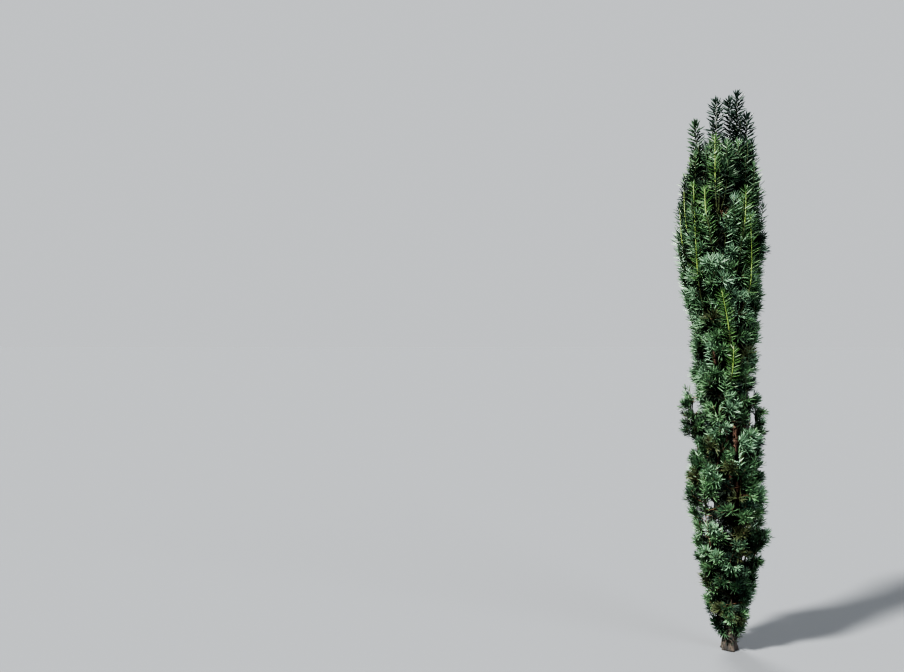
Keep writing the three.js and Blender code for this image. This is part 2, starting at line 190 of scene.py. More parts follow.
def corner(foot, tip, bend):
    """Where a path bends upwards, by the shares of the way out and of the way up."""
    out, up = bend
    return np.array([*lerp(foot, tip, out)[:2], lerp(foot[2], tip[2], up)])


def level(angle):
    return np.array([math.cos(angle), math.sin(angle), 0])


def outwards(point):
    """The level direction from the crown's middle to a point."""
    return unit(point - np.array([crown_at(point[2])[0], 0, point[2]]))


def angle_of(point):
    """The angle of a point round the crown's middle."""
    return math.atan2(point[1], point[0] - crown_at(point[2])[0])


def square(along):
    """Two directions square to each tangent: the one nearest to +X, and the one in front of it."""
    side = unit(np.array([1.0, 0, 0]) - along * along[:, :1])
    return side, np.cross(side, along)


def rows_at(s, lengths, rows):
    """The rows that belong to some lengths, between those that are given."""
    return np.stack([np.interp(s, lengths, rows[:, axis]) for axis in range(3)], -1)


class Limb:
    """A tapering limb: its path and its radius, as arrays."""

    def __init__(self, name, path, radius):
        self.name, self.path, self.radius = name, path, radius

    def at(self, z):
        """The point where a limb that rises all the way passes a height, and its radius there."""
        heights = self.path[:, 2]
        return rows_at(z, heights, self.path), float(np.interp(z, heights, self.radius))


def tapered(t, foot, tip, fade):
    """The radius of a limb along it, with the collar at its foot."""
    return lerp(foot, tip, t) * (1 + COLLAR * np.exp(-fade * t))


def make_trunk():
    z = TRUNK_TOP * np.linspace(0, 1, TRUNK_POINTS) ** TRUNK_CROWDING
    path = np.array([trunk_at(h) for h in z])
    radius = lerp(TRUNK_FOOT, TRUNK_TIP, z / TRUNK_TOP) + FLARE * np.exp(-z / FLARE_HEIGHT)
    return Limb("trunk", path, radius)


def make_left_stem():
    t = np.linspace(0, 1, STEM_POINTS)
    path = bezier([trunk_at(STEM_START), *STEM_THROUGH, STEM_END], t)
    return Limb("left_stem", path, tapered(t, STEM_RADIUS, STEM_TIP, STEM_FADE))


class Mass:
    """One mass of the crown: its axis, the limb that bears it, and the kind of shoots it has."""

    def __init__(self, index, name, kind, foot, middle, tip, limb, drop):
        control = 2 * middle - 0.5 * foot - 0.5 * tip
        self.index, self.name, self.limb, self.drop = index, name, limb, drop
        self.kind, self.habit, self.slim = kind, HABIT[kind], kind in SLIM
        self.points = [foot, control, tip]
        self.samples = curve(self.points, AXIS_POINTS)
        self.length = float(np.linalg.norm(np.diff(self.samples, axis=0), axis=1).sum())

    def axis(self, t):
        return bezier(self.points, np.atleast_1d(np.asarray(t, float)))


def in_crown(z, angle, inset):
    """A point at an angle round the crown's middle, so far in from its outline, off the trunk."""
    x, half_width = crown_at(z)
    out = max(LEAST_OUT, half_width - inset)
    middle = trunk_at(z)
    away = np.array([x + out * math.cos(angle), out * math.sin(angle), z]) - middle
    length = np.linalg.norm(away)
    return middle + away * max(LEAST_OUT, length) / length


def parent_of(foot, drop, stems):
    """The stem nearest to a point at the height where its bough would leave."""
    start = foot[2] - drop
    free = [s for s in stems if s.name == "trunk" or s.path[0, 2] < start - STEM_CLEAR]
    return min(free, key=lambda s: np.linalg.norm(s.at(start)[0] - foot))


def plan_masses(stems):
    """Every mass of the crown, in the rings and then the single ones."""
    masses = []
    for kind, low, high, drop, angles in TIERS:
        for k, degrees in enumerate(angles):
            angle = math.radians(degrees)
            foot_z = low + STAGGER * k
            index = len(masses)
            tip_z = high + TIP_SPREAD * (next(stream(index)) - 0.5)
            foot = in_crown(foot_z, angle, AXIS_INSET)
            middle = in_crown((foot_z + tip_z) / 2, angle, AXIS_INSET - SWELL)
            tip = in_crown(tip_z, angle, TOP_INSET)
            limb = parent_of(foot, drop, stems)
            masses.append(Mass(index, f"{kind}_{k + 1}", kind, foot, middle, tip, limb, drop))
    singles = [("leader", row) for row in LEADERS] + [("tuft", row) for row in TUFTS]
    for kind, (name, foot, tip, limb_name, drop) in singles:
        limb = next(s for s in stems if s.name == limb_name)
        foot = np.array(foot, float) if drop else limb.path[-1]
        tip = np.array(tip, float)
        middle = (foot + tip) / 2 + BEND * unit(np.cross(UP, tip - foot))
        masses.append(Mass(len(masses), name, kind, foot, middle, tip, limb, drop))
    return masses


def make_bough(mass):
    foot = mass.samples[0]
    start, parent_radius = mass.limb.at(foot[2] - mass.drop)
    first = unit(mass.samples[1] - foot)
    control = foot - BOUGH_RISE * np.linalg.norm(foot - start) * first
    thick = min(BOUGH_RADIUS, BOUGH_SHARE * parent_radius)
    radius = tapered(np.linspace(0, 1, BOUGH_POINTS), thick, BOUGH_TIP, BOUGH_FADE)
    return Limb(f"bough_{mass.name}", curve([start, control, foot], BOUGH_POINTS), radius)


# How a kind of mass grows: its feathers, which are long upright shoots, and its rosettes, which are
# tufts of short ones. How many feathers, or millimetres of axis to each rosette, the stretch of the
# axis that they leave, and how far they reach out and rise. Then how far inside the outline the
# rosettes end, their twiglets' lengths, millimetres of axis to each shoot in the shade, and the
# needles' lengths.
Growth = namedtuple("Growth", "number stretch reach rise")
Habit = namedtuple("Habit", "feather rosette inset twiglet fill needle")
HABIT = {
    "foot": Habit(
        Growth(2, (0.2, 0.8), (24, 50), (30, 90)),
        Growth(9, (0.0, 0.98), (22, 84), (-46, 40)), 6, (20, 36), 8, (21, 31),
    ),
    "low": Habit(
        Growth(3, (0.2, 0.8), (30, 70), (50, 120)),
        Growth(15, (0.0, 0.98), (56, 120), (0, 60)), 2, (22, 40), 9, (25, 36),
    ),
    "middle": Habit(
        Growth(4, (0.2, 0.8), (30, 55), (70, 160)),
        Growth(14, (0.0, 0.98), (50, 104), (4, 64)), 6, (22, 42), 10, (28, 38),
    ),
    "upper": Habit(
        Growth(8, (0.1, 0.85), (34, 60), (150, 290)),
        Growth(15, (0.0, 0.88), (40, 90), (10, 70)), 14, (22, 42), 14, (29, 38),
    ),
    "top": Habit(
        Growth(10, (0.0, 0.8), (26, 60), (130, 300)),
        Growth(18, (0.0, 0.85), (30, 70), (20, 80)), 20, (22, 42), 14, (30, 40),
    ),
    "leader": Habit(
        Growth(3, (0.0, 0.4), (14, 30), (140, 240)),
        Growth(26, (0.0, 0.4), (12, 34), (20, 60)), 0, (22, 42), 20, (34, 43),
    ),
    "tuft": Habit(
        Growth(3, (0.1, 0.6), (6, 18), (60, 110)),
        Growth(11, (0.1, 0.96), (6, 24), (8, 40)), 0, (14, 24), 20, (21, 29),
    ),
}
SLIM = ("leader", "tuft")

# The look of each sort of shoot: millimetres of it to each needle, the breadth and the thickness of
# its needles, how unevenly they face, its stem's radius and sides, and how often that is olive, not
# brown. The shoot that leads a mass looks "leading" on a leader and "upright" on the others.
Look = namedtuple("Look", "pace breadth thickness uneven stem sides olive")
LOOKS = {
    "leading": Look(2.4, 5.4, 4.0, 0.6, 2.4, 4, 1.0),
    "upright": Look(2.4, 3.4, 1.8, 0.6, 2.4, 4, 1.0),
    "feather": Look(2.6, 3.6, 2.0, 0.6, 2.1, 4, 1.0),
    "bright": Look(1.7, 3.0, 1.6, 0.6, 3.2, 5, 1.0),
    "rosette": Look(1.3, 3.2, 1.3, 0.5, 1.3, 3, 0.4),
}
SHOOT_TIP = 0.8  # the radius of a shoot's stem at its tip
LEAST_NEEDLES, LEAST_RINGS = 3, 6  # on a shoot, and along the bark of a limb

# How many points the path of a shoot has, the share of it below its first needle, and how far out
# and up it has gone where it bends.
POINTS = {
    "leading": 24, "placed": 16, "feather": 10, "rosette": 5, "bough": 4, "twiglet": 3, "fill": 3
}
BARE = {"placed": 0.25, "feather": 0.1, "rosette": 0.4, "bough": 0.3, "twiglet": 0.25, "fill": 0.1}
PLACED_BEND, FEATHER_BEND, ROSETTE_BEND = (0.8, 0.5), (0.95, 0.3), (0.7, 0.25)

FEATHER_INSET = -4  # how far inside the outline a feather ends
DEEP = 36  # how far inside it a shoot ends in the shade of the rest
DEEP_PACE, DEEP_BREADTH = 1.6, 1.3  # how much further apart and broader the needles are there
GROUND_CLEAR = 2  # how high every needle's tip is at least
TIP_CLEAR = 4  # how far below the tip of its mass every other shoot ends
LEAST_WIDTH = 10  # half the width that the crown has at least for its shoots
LEADER_FROM, UPRIGHT_FROM, LEAD = 0.1, 0.4, 1.02  # where on an axis its leading shoot starts and ends
DRAWN_IN = (1.0, 0.8, 0.6, 0.4, 0.2)  # shares of a shoot's reach, tried in turn
FEATHER_FAN, FAN_UNEVEN = 0.6, 0.15  # how far round the feathers spread, and how unevenly all do
INNER_REACH = 0.6  # the share of its reach that a rosette has on the inner side
TUFT_DEPTH = 26  # the needled length of an outer rosette's shoot
LONG_TILT = (math.radians(68), math.radians(15))  # of a long shoot's needles, and at its tip
ROSETTE_TILT = (math.radians(86), math.radians(16))
YOUNG = 15  # how far from its tip a long shoot's needles turn and shorten
CROWDING = 1.12  # how much closer the needles stand towards a long shoot's tip
FACING_UP = 0.8  # how much the flat side of a needle is turned upwards rather than outwards
TURN_UNEVEN, TILT_UNEVEN = 0.2, 0.1  # how much its place round the stem and its tilt differ
YOUNG_SHORTER, TIP_SHORTER = 0.45, 0.25  # at the tip of a long shoot, and of a rosette's
BREADTH_SPREAD = (0.85, 1.15)
SIDE_REACH = {"tuft_left": 1.8, "tuft_right_low": 0.6}  # where rosettes reach further, or less far
PARTING = 0.82  # the needles that face further outwards leave a feather's stem bare
INNER = 0.6  # from this share of the way round, a shoot faces the crown's middle
TWIGLETS = (-1.0, -0.45, 0.5, 1.0)  # the side of the main shoot that each one takes
TWIGLET_FROM, TWIGLET_TURN = (0.35, 0.75), (0.7, 1.3)  # where they leave it, and how far they turn
TWIGLET_OUT, TWIGLET_ALONG, TWIGLET_UP = 0.8, 0.5, (-0.3, 0.9)  # the parts of their direction
TWIGLET_BULGE = 0.15
ROUGHNESS = 24  # by which some rosettes end further inside than others
FILL_REACH, FILL_RISE, FILL_BEND = (20, 50), (-10, 50), 0.6  # of the shoots in the shade

# How the sprays on a bough grow, by the millimetres that it rises, how far round they spread, and how
# far they bulge.
BOUGH_SPRAYS, BOUGH_FAN, BOUGH_BULGE = Growth(10, (0.35, 0.95), (26, 52), (-6, 50)), 0.6, 6

# The rings of a needle between its two points: share of its length, width and bend there.
NEEDLE_RINGS = ((0.24, 1.0, 0.0), (0.74, 0.8, 0.5))
NEEDLE_BEND = 0.10  # as a share of its length
NEEDLE_PLACE = 0.6  # the share of it that is in an opening or a hollow, or not
PROBES = (0.3, 0.65, 1.0)  # the shares of it that keep out of the places kept open

# Stretches of a limb that show between the sprays from the front: limb, heights, half the width of
# the way to the viewer that is open, and of the way to the light.
GLIMPSES = [
    ("trunk", 688, 792, 6, 7), ("trunk", 528, 612, 6.5, 3), ("left_stem", 1010, 1070, 5, 4)
]
TO_VIEWER = (0, -1, 0)
TO_LIGHT = [-part for part in SUNS["key"][0]]

# Where the photo shows what is behind the crown, through it or in its outline: sideways place,
# height, half width and half height.
OPENINGS = [
    (-124, 925, 17, 30), (-116, 862, 15, 42), (74, 985, 9, 14), (74, 915, 13, 26),
    (82, 826, 13, 40), (134, 880, 24, 20), (-60, 515, 17, 19), (-82, 464, 13, 15),
    (50, 327, 14, 18), (108, 646, 14, 12), (116, 1016, 24, 13), (118, 284, 18, 18),
]
# Where the front shows the dark inside of the crown instead, in the same way.
HOLLOWS = [
    (-26, 1588, 46, 38), (-15, 1474, 26, 42), (42, 1354, 20, 38), (48, 1224, 22, 24),
    (-70, 1166, 16, 26), (-98, 1052, 18, 34), (-36, 908, 32, 26), (-58, 856, 16, 20),
    (-24, 714, 24, 26), (38, 562, 26, 28), (-10, 452, 24, 38), (16, 306, 22, 20),
    (-6, 170, 20, 22),
]
OPENING_EDGE = (0.4, 1.4)  # the shares of its size between which each needle meets its edge
TWIG_EDGE = 0.5  # the share of an opening's size in which no shoot grows

# Long shoots that are placed as in the photo, the first with bright stems: sideways place and
# height of the foot and of the tip of the stretch that shows.
BRIGHT_STEMS = [
    ((-42, 1640), (-43, 1820)), ((-104, 1320), (-116, 1655)), ((-146, 1500), (-152, 1665)),
    ((-160, 1440), (-166, 1590)), ((-75, 1541), (-77, 1631)), ((58, 1500), (60, 1630)),
    ((84, 1290), (74, 1535)), ((8, 1130), (-21, 1275)), ((16, 985), (18, 1085)),
]
EDGE_SHOOTS = [
    ((-134, 1200), (-170, 1440)), ((-156, 1360), (-178, 1500)), ((-126, 820), (-152, 936)),
    ((-116, 810), (-136, 930)),
]
BACK_SHOOTS = [
    ((58, 1440), (60, 1660)), ((22, 1500), (14, 1740)), ((-14, 1420), (-22, 1650)),
    ((-52, 1480), (-62, 1716)), ((-88, 1400), (-96, 1610)),
]
# Rosettes at the outline's bumps and on the front: sideways place and height of their tips.
EDGE_TUFTS = [
    (-150, 1272), (-138, 1240), (112, 1424), (106, 1390), (106, 1262), (98, 1226),
    (-120, 990), (-134, 560),
]
FRONT_TUFTS = [
    (-75, 1378), (-48, 1345), (-96, 1350), (-30, 1385), (-60, 1312), (-18, 1325),
    (5, 1740), (12, 1680), (-12, 1706), (-6, 526), (58, 504),
]
EDGE_DROP = 30  # how far below its tip such a rosette leaves the axis
PLACED_ROOT = 110  # how far below the foot of its bright stretch a placed shoot leaves the axis
PLACED_EASE = 0.4  # the share of that stretch over which it straightens
BRIGHT_CLEAR, BRIGHT_END = 1.8, 0.2  # half the width kept open before one, but not at its last part


class Space:
    """The room that each mass has, which is nearer to its own axis than to any other, and the
    places kept open in front of the limbs and the bright stems."""

    def __init__(self, masses, stems):
        self.axes = np.array([m.samples for m in masses])
        limbs = {limb.name: limb for limb in stems}
        self.glimpses = []
        for name, low, high, *halves in GLIMPSES:
            for half, way in zip(halves, (TO_VIEWER, TO_LIGHT)):
                self.glimpses.append((limbs[name].path, low, high, half, way))
        self.placed = [[] for _ in masses]
        for foot, tip in BRIGHT_STEMS:
            shoot = self.place(foot, tip, bright=(foot[1], tip[1]))
            top = tip[1] - BRIGHT_END * (tip[1] - foot[1])
            self.glimpses.append((shoot.path, foot[1], top, BRIGHT_CLEAR, TO_VIEWER))
        for foot, tip in EDGE_SHOOTS:
            self.place(foot, tip)
        for foot, tip in BACK_SHOOTS:
            self.place(foot, tip, back=True)
        self.tufts = [[] for _ in masses]
        for tip in (at_face(*place) for place in EDGE_TUFTS + FRONT_TUFTS):
            self.tufts[self.nearest(tip)].append(tip)

    def nearest(self, point):
        """The mass whose axis is nearest to a point."""
        return int(np.argmin(np.linalg.norm(self.axes - point, axis=2).min(1)))

    def place(self, foot, tip, bright=(0, 0), back=False):
        """Adds a long shoot through two places on the crown's face to the mass nearest to them."""
        foot, tip = at_face(*foot, back), at_face(*tip, back)
        index = self.nearest(foot)
        axis = self.axes[index]
        root = axis[np.argmin(abs(axis[:, 2] - foot[2] + PLACED_ROOT))]
        through = [corner(root, foot, PLACED_BEND), foot, lerp(foot, tip, PLACED_EASE)]
        path = curve([root, *through, tip], POINTS["placed"])
        look = "bright" if bright[1] else "feather"
        shoot = Shoot(path, "feather", False, BARE["placed"], outwards(tip), bright, look)
        self.placed[index].append(shoot)
        return shoot

    def owns(self, mass, points):
        """Which of some points are in the space of a mass."""
        near = [np.linalg.norm(points[:, None] - axis[None], axis=2).min(1) for axis in self.axes]
        near = np.array(near)
        own = near[mass.index] + 2 * ROOM
        near[mass.index] = np.inf
        return near.min(0) > own

    def veils(self, points):
        """Which of some points are in the way of a place that is kept open."""
        hidden = np.zeros(len(points), bool)
        for path, low, high, half, way in self.glimpses:
            depth = np.interp(points[:, 2], path[:, 2], path[:, 1])
            steps = (points[:, 1] - depth) / way[1]
            x, _, z = (points - steps[:, None] * way).T
            beside = abs(x - np.interp(z, path[:, 2], path[:, 0])) < half
            hidden |= (steps > 0) & beside & (z > low) & (z < high)
        return hidden


def seen_in(ovals, points, edge):
    """Which of some points the viewer would see in one of some ovals, up to a share of its size."""
    eye = np.array(EYE) / MM
    seen = eye + (points - eye) * (eye[1] / (eye[1] - points[:, 1]))[:, None]
    inside = np.zeros(len(points), bool)
    for x, z, wide, high in ovals:
        inside |= np.hypot((seen[:, 0] - x) / wide, (seen[:, 2] - z) / high) < edge
    return inside


def at_face(x, z, back=False):
    """The point of the crown's front, or of its back, at a sideways place and a height."""
    middle, half_width = crown_at(z)
    depth = math.sqrt(max(0.0, half_width**2 - (x - middle) ** 2))
    return np.array([x, depth if back else -depth, z])


def keep_in_crown(tip, inset):
    """A tip, drawn in to end so far inside the crown's outline."""
    x, half_width = crown_at(tip[2])
    most = max(LEAST_WIDTH, half_width - inset)
    share = min(1.0, most / max(1e-6, math.hypot(tip[0] - x, tip[1])))
    return np.array([x + (tip[0] - x) * share, tip[1] * share, tip[2]])


def is_deep(mass, tip, inner):
    """Whether a shoot with this tip is in the shade of the rest of the crown."""
    x, half_width = crown_at(tip[2])
    return inner or (not mass.slim and half_width - math.hypot(tip[0] - x, tip[1]) > DEEP)


class Shoot:
    """A needled shoot: its path and its kind, whether it is deep in the crown, the share of it where
    its needles start, the side on which they part, if they do, the heights between which the stem
    of a placed one is bright, and its look, if that isn't its kind's."""

    def __init__(self, path, kind, deep, start=0.0, out=None, bright=None, look=None):
        self.path, self.kind, self.deep, self.start = path, kind, deep, start
        self.out, self.bright = out, bright
        self.look = look or kind
        if kind == "rosette" and not deep:
            self.start = max(0.0, 1 - TUFT_DEPTH / run_along(path)[-1])


def reaching(mass, base, angle, reach, rise, inset, space):
    """The tip of a shoot, drawn in until it is in its mass's own space and inside the outline."""
    for share in DRAWN_IN:
        tip = base + share * reach * level(angle) + rise * UP
        tip[2] = min(tip[2], mass.samples[-1][2] - TIP_CLEAR)
        if not mass.slim:
            tip = keep_in_crown(tip, inset)
        if space.owns(mass, tip[None])[0]:
            break
    return tip


def feather_of(mass, k, space, rng):
    """A long upright shoot, whose needles part on its outer side."""
    growth = mass.habit.feather
    t = lerp(*growth.stretch, (k + rng.random()) / growth.number)
    base, angle, inner = leave(mass, t, k, rng, FEATHER_FAN)
    reach, rise = lerp(*growth.reach, rng.random()), lerp(*growth.rise, rng.random())
    tip = reaching(mass, base, angle, reach, rise, FEATHER_INSET, space)
    path = curve([base, corner(base, tip, FEATHER_BEND), tip], POINTS["feather"])
    return Shoot(path, "feather", is_deep(mass, tip, inner), BARE["feather"], outwards(tip))


def rosette_of(mass, t, k, space, rng):
    """A tuft of short shoots: a main one with twiglets on either side."""
    growth = mass.habit.rosette
    base, angle, inner = leave(mass, t, k, rng, 1.0)
    reach = lerp(*growth.reach, rng.random()) * (INNER_REACH if inner else 1)
    reach *= SIDE_REACH.get(mass.name, 1)
    rise = lerp(*growth.rise, rng.random())
    inset = mass.habit.inset + ROUGHNESS * rng.random()
    tip = reaching(mass, base, angle, reach, rise, inset, space)
    return rosette_to(tip, base, is_deep(mass, tip, inner), angle, mass, rng)


def placed_rosette(mass, tip, rng):
    """A rosette that ends at a given place."""
    base = mass.samples[np.argmin(abs(mass.samples[:, 2] - tip[2] + EDGE_DROP))]
    angle = math.atan2(tip[1] - base[1], tip[0] - base[0])
    return rosette_to(tip, base, False, angle, mass, rng)


def rosette_to(tip, base, deep, angle, mass, rng):
    """A rosette from one place to another."""
    path = curve([base, corner(base, tip, ROSETTE_BEND), tip], POINTS["rosette"])
    return tufted(Shoot(path, "rosette", deep, BARE["rosette"]), angle, mass, rng)


def tufted(main, angle, mass, rng):
    """A short shoot with its twiglets."""
    return [main, *(twiglet(main, side, angle, mass, rng) for side in TWIGLETS)]


def fill_of(mass, t, k, space, rng):
    """A short shoot in the shade, behind the rosettes."""
    base, angle, _ = leave(mass, t, k, rng, 1.0)
    reach, rise = rng.uniform(*FILL_REACH), rng.uniform(*FILL_RISE)
    tip = reaching(mass, base, angle, reach, rise, DEEP, space)
    path = curve([base, lerp(base, tip, FILL_BEND), tip], POINTS["fill"])
    return Shoot(path, "rosette", True, BARE["fill"])


def plan_sprays(mass, space, rng):
    """The shoots of a mass in sprays of one tone: the one that leads, feathers, placed ones, rosettes,
    those in its shade, and the ones on its bough."""
    feather, rosette = mass.habit.feather, mass.habit.rosette
    sprays = [[leading_shoot(mass)]]
    sprays += [[feather_of(mass, k, space, rng)] for k in range(feather.number)]
    sprays += [[shoot] for shoot in space.placed[mass.index]]
    sprays += [placed_rosette(mass, tip, rng) for tip in space.tufts[mass.index]]
    for k, t in evenly(mass.length, rosette.number, *rosette.stretch, rng):
        sprays.append(rosette_of(mass, t, k, space, rng))
    for k, t in evenly(mass.length, mass.habit.fill, *rosette.stretch, rng):
        sprays.append([fill_of(mass, t, k, space, rng)])
    return clear_openings(sprays + bough_sprays(mass, rng))


def leading_shoot(mass):
    """The upper part of a mass's axis, as the shoot that leads it."""
    is_leader = mass.kind == "leader"
    t = np.linspace(LEADER_FROM if is_leader else UPRIGHT_FROM, LEAD, POINTS["leading"])
    return Shoot(mass.axis(t), "leading", False, look="leading" if is_leader else "upright")


def clear_openings(sprays):
    """Sprays less their shoots that would cross an opening, and less those whose first would."""
    kept = [spray for spray in sprays if spray[0].kind == "leading" or is_clear(spray[0])]
    return [spray[:1] + [shoot for shoot in spray[1:] if is_clear(shoot)] for spray in kept]


def is_clear(shoot):
    """Whether no part of a shoot is in an opening."""
    return not seen_in(OPENINGS, shoot.path, TWIG_EDGE).any()


def evenly(length, pace, start, end, rng):
    """Numbered places on a stretch of a limb, each somewhere in its own even share of the way."""
    count = round(length * (end - start) / pace)
    return [(k, lerp(start, end, (k + rng.random()) / count)) for k in range(count)]


def bough_sprays(mass, rng):
    """A few short sprays along the outer part of the bough that bears a mass."""
    if not mass.drop:
        return []
    bough, growth, sprays = make_bough(mass), BOUGH_SPRAYS, []
    for _, t in evenly(mass.drop, growth.number, *growth.stretch, rng):
        base = bough.path[int(t * len(bough.path))]
        angle = angle_of(base) + math.pi * rng.uniform(-BOUGH_FAN, BOUGH_FAN)
        out = level(angle)
        tip = base + rng.uniform(*growth.reach) * out + rng.uniform(*growth.rise) * UP
        tip = keep_in_crown(tip, mass.habit.inset)
        control = lerp(base, tip, 0.5) + BOUGH_BULGE * out
        path = curve([base, control, tip], POINTS["bough"])
        main = Shoot(path, "rosette", is_deep(mass, tip, False), BARE["bough"])
        sprays.append(tufted(main, angle, mass, rng))
    return sprays


def leave(mass, t, k, rng, spread):
    """Where on its mass's axis a shoot starts, the way it faces, and whether that is inwards."""
    base = mass.axis(t)[0]
    fan = 2 * ((k * GOLDEN_SHARE + FAN_UNEVEN * rng.random()) % 1) - 1
    if not mass.slim:
        fan *= spread
    return base, angle_of(base) + math.pi * fan, not mass.slim and abs(fan) > INNER


def twiglet(parent, side, angle, mass, rng):
    """A short shoot that leaves a rosette's main one half way up to one side, and bends upwards."""
    path = parent.path
    place = rng.uniform(*TWIGLET_FROM) * (len(path) - 1)
    i = int(place)
    start = lerp(path[i], path[i + 1], place - i)
    along = unit(path[i + 1] - path[i])
    out = level(angle + side * rng.uniform(*TWIGLET_TURN))
    length = rng.uniform(*mass.habit.twiglet)
    way = TWIGLET_OUT * out + TWIGLET_ALONG * along + rng.uniform(*TWIGLET_UP) * UP
    tip = start + length * unit(way)
    if not mass.slim:
        tip = keep_in_crown(tip, mass.habit.inset)
    control = lerp(start, tip, 0.5) + TWIGLET_BULGE * length * out
    path = curve([start, control, tip], POINTS["twiglet"])
    return Shoot(path, "rosette", parent.deep, BARE["twiglet"])


def run_along(path):
    """How far each point of a path is from its foot."""
    return np.concatenate([[0], np.cumsum(np.linalg.norm(np.diff(path, axis=0), axis=1))])


def resample(path, pace, crowding):
    """Points, tangents and shares of the way along a path, at an even pace or closer at its tip."""
    lengths = run_along(path)
    count = max(LEAST_NEEDLES, int(lengths[-1] / pace))
    s = (1 - (1 - (np.arange(count) + 0.5) / count) ** crowding) * lengths[-1]
    along = rows_at(s, lengths, np.gradient(path, lengths, axis=0))
    return rows_at(s, lengths, path), unit(along), s / lengths[-1]


def needles_on(shoot, sizes, space, rng):
    """Foot, direction, width direction, length, width and thickness of each needle of a shoot."""
    look, is_long = LOOKS[shoot.look], shoot.kind != "rosette"
    pace = look.pace * (DEEP_PACE if shoot.deep else 1)
    points, along, t = resample(shoot.path, pace, CROWDING if is_long else 1)
    young = np.exp((t - 1) * run_along(shoot.path)[-1] / YOUNG)
    bare = t < shoot.start
    points, along, young = points[~bare], along[~bare], young[~bare]
    t = (t[~bare] - shoot.start) / (1 - shoot.start)
    side, front = square(along)
    turn = rng.random() * 2 * math.pi + np.arange(len(t)) * GOLDEN
    turn = turn + rng.normal(0, TURN_UNEVEN, len(t))
    radial = side * np.cos(turn)[:, None] + front * np.sin(turn)[:, None]
    tilt = lerp(*LONG_TILT, young) if is_long else lerp(*ROSETTE_TILT, t)
    tilt = tilt + rng.normal(0, TILT_UNEVEN, len(t))
    way = along * np.cos(tilt)[:, None] + radial * np.sin(tilt)[:, None]
    across = unit(np.cross(facing_at(points, look.uneven, rng), way))
    shorter = YOUNG_SHORTER * young if is_long else TIP_SHORTER * t**6
    length = lerp(*sizes, rng.random(len(t))) * (1 - shorter)
    width = look.breadth * lerp(*BREADTH_SPREAD, rng.random(len(t)))
    thick = np.full(len(t), look.thickness)
    keep = is_shown(shoot, points, points + length[:, None] * way, radial, space, rng)
    return [column[keep] for column in (points, way, across, length, width, thick)]


def is_shown(shoot, points, tips, radial, space, rng):
    """Which needles of a shoot are clear of the ground, the openings, the hollows, the places kept
    open and the side on which they part."""
    keep = tips[:, 2] > GROUND_CLEAR
    middle = lerp(points, tips, NEEDLE_PLACE)
    edge = rng.uniform(*OPENING_EDGE, len(points))
    keep &= ~seen_in(OPENINGS, middle, edge)
    if not shoot.deep:
        hollow = seen_in(HOLLOWS, middle, edge) & (middle[:, 1] < 0)
        if shoot.look == "bright":
            hollow &= points[:, 2] < shoot.bright[0]
        keep &= ~hollow
    for share in PROBES:
        keep &= ~space.veils(lerp(points, tips, share))
    if shoot.out is not None:
        keep &= radial @ shoot.out < PARTING
    return keep


def facing_at(points, uneven, rng):
    """The way that the flat sides of needles face: outwards and up, to the light."""
    middle = np.array([[crown_at(z)[0], 0, z] for z in points[:, 2]])
    return unit(unit(points - middle) + FACING_UP * UP + rng.normal(0, uneven, points.shape))


def deep_needle_mesh(rows):
    """Needles in the crown's shade, as flat diamonds."""
    points, way, across, length, width, _ = rows
    length, half = length[:, None], DEEP_BREADTH * 0.5 * width[:, None]
    middle = points + 0.5 * length * way
    corners = [points, middle - half * across, middle + half * across, points + length * way]
    faces = np.array([[0, 2, 1], [1, 2, 3]])[None] + 4 * np.arange(len(points))[:, None, None]
    return np.stack(corners, 1).reshape(-1, 3), faces.reshape(-1, 3)


def needle_mesh(rows):
    """Needles as closed blades with three edges, pointed at both ends."""
    points, way, across, length, width, thick = rows
    over = np.cross(across, way)
    length, half, thick = length[:, None], 0.5 * width[:, None], thick[:, None]
    bend = -NEEDLE_BEND * length * over
    corners = [points]
    for share, wide, bent in NEEDLE_RINGS:
        middle = points + share * length * way + bent * bend
        corners += [middle - wide * half * across, middle + wide * half * across]
        corners += [middle + wide * thick * over]
    corners += [points + length * way + bend]
    vertices = np.stack(corners, 1).reshape(-1, 3)
    last = 3 * len(NEEDLE_RINGS) + 1
    faces = [[0, 2, 1], [0, 3, 2], [0, 1, 3]]
    for first in range(1, last - 3, 3):
        for a, b in ((first, first + 1), (first + 1, first + 2), (first + 2, first)):
            faces += [[a, b, b + 3], [a, b + 3, a + 3]]
    faces += [[last - 3, last - 2, last], [last - 2, last - 1, last], [last - 1, last - 3, last]]
    faces = np.array(faces)[None] + (last + 1) * np.arange(len(points))[:, None, None]
    return vertices, faces.reshape(-1, 3)


def tube_mesh(path, radius, sides):
    """A closed tube of triangles along a path."""
    _, ways = rings_round(unit(np.gradient(path, axis=0)), sides)
    return close_tube(path, path[:, None] + ways * radius[:, None, None])


def rings_round(along, sides):
    """The angles of the points of a ring, and their directions round each tangent of a path."""
    angle = np.arange(sides) / sides * 2 * math.pi
    side, front = square(along)
    return angle, side[:, None] * np.cos(angle)[:, None] + front[:, None] * np.sin(angle)[:, None]


def close_tube(path, vertices):
    """The vertices and faces of a tube from its rings, with a point of its path at each end."""
    rings, sides = vertices.shape[:2]
    faces = []
    ring = np.arange(sides)
    turned = (ring + 1) % sides
    for i in range(rings - 1):
        low, high = i * sides, (i + 1) * sides
        faces.append(np.stack([low + ring, high + ring, high + turned], 1))
        faces.append(np.stack([low + ring, high + turned, low + turned], 1))
    count = rings * sides
    faces.append(np.stack([np.full(sides, count), ring, turned], 1))
    last = (rings - 1) * sides
    faces.append(np.stack([np.full(sides, count + 1), last + turned, last + ring], 1))
    vertices = np.concatenate([vertices.reshape(-1, 3), path[[0, -1]]])
    return vertices, np.concatenate(faces)


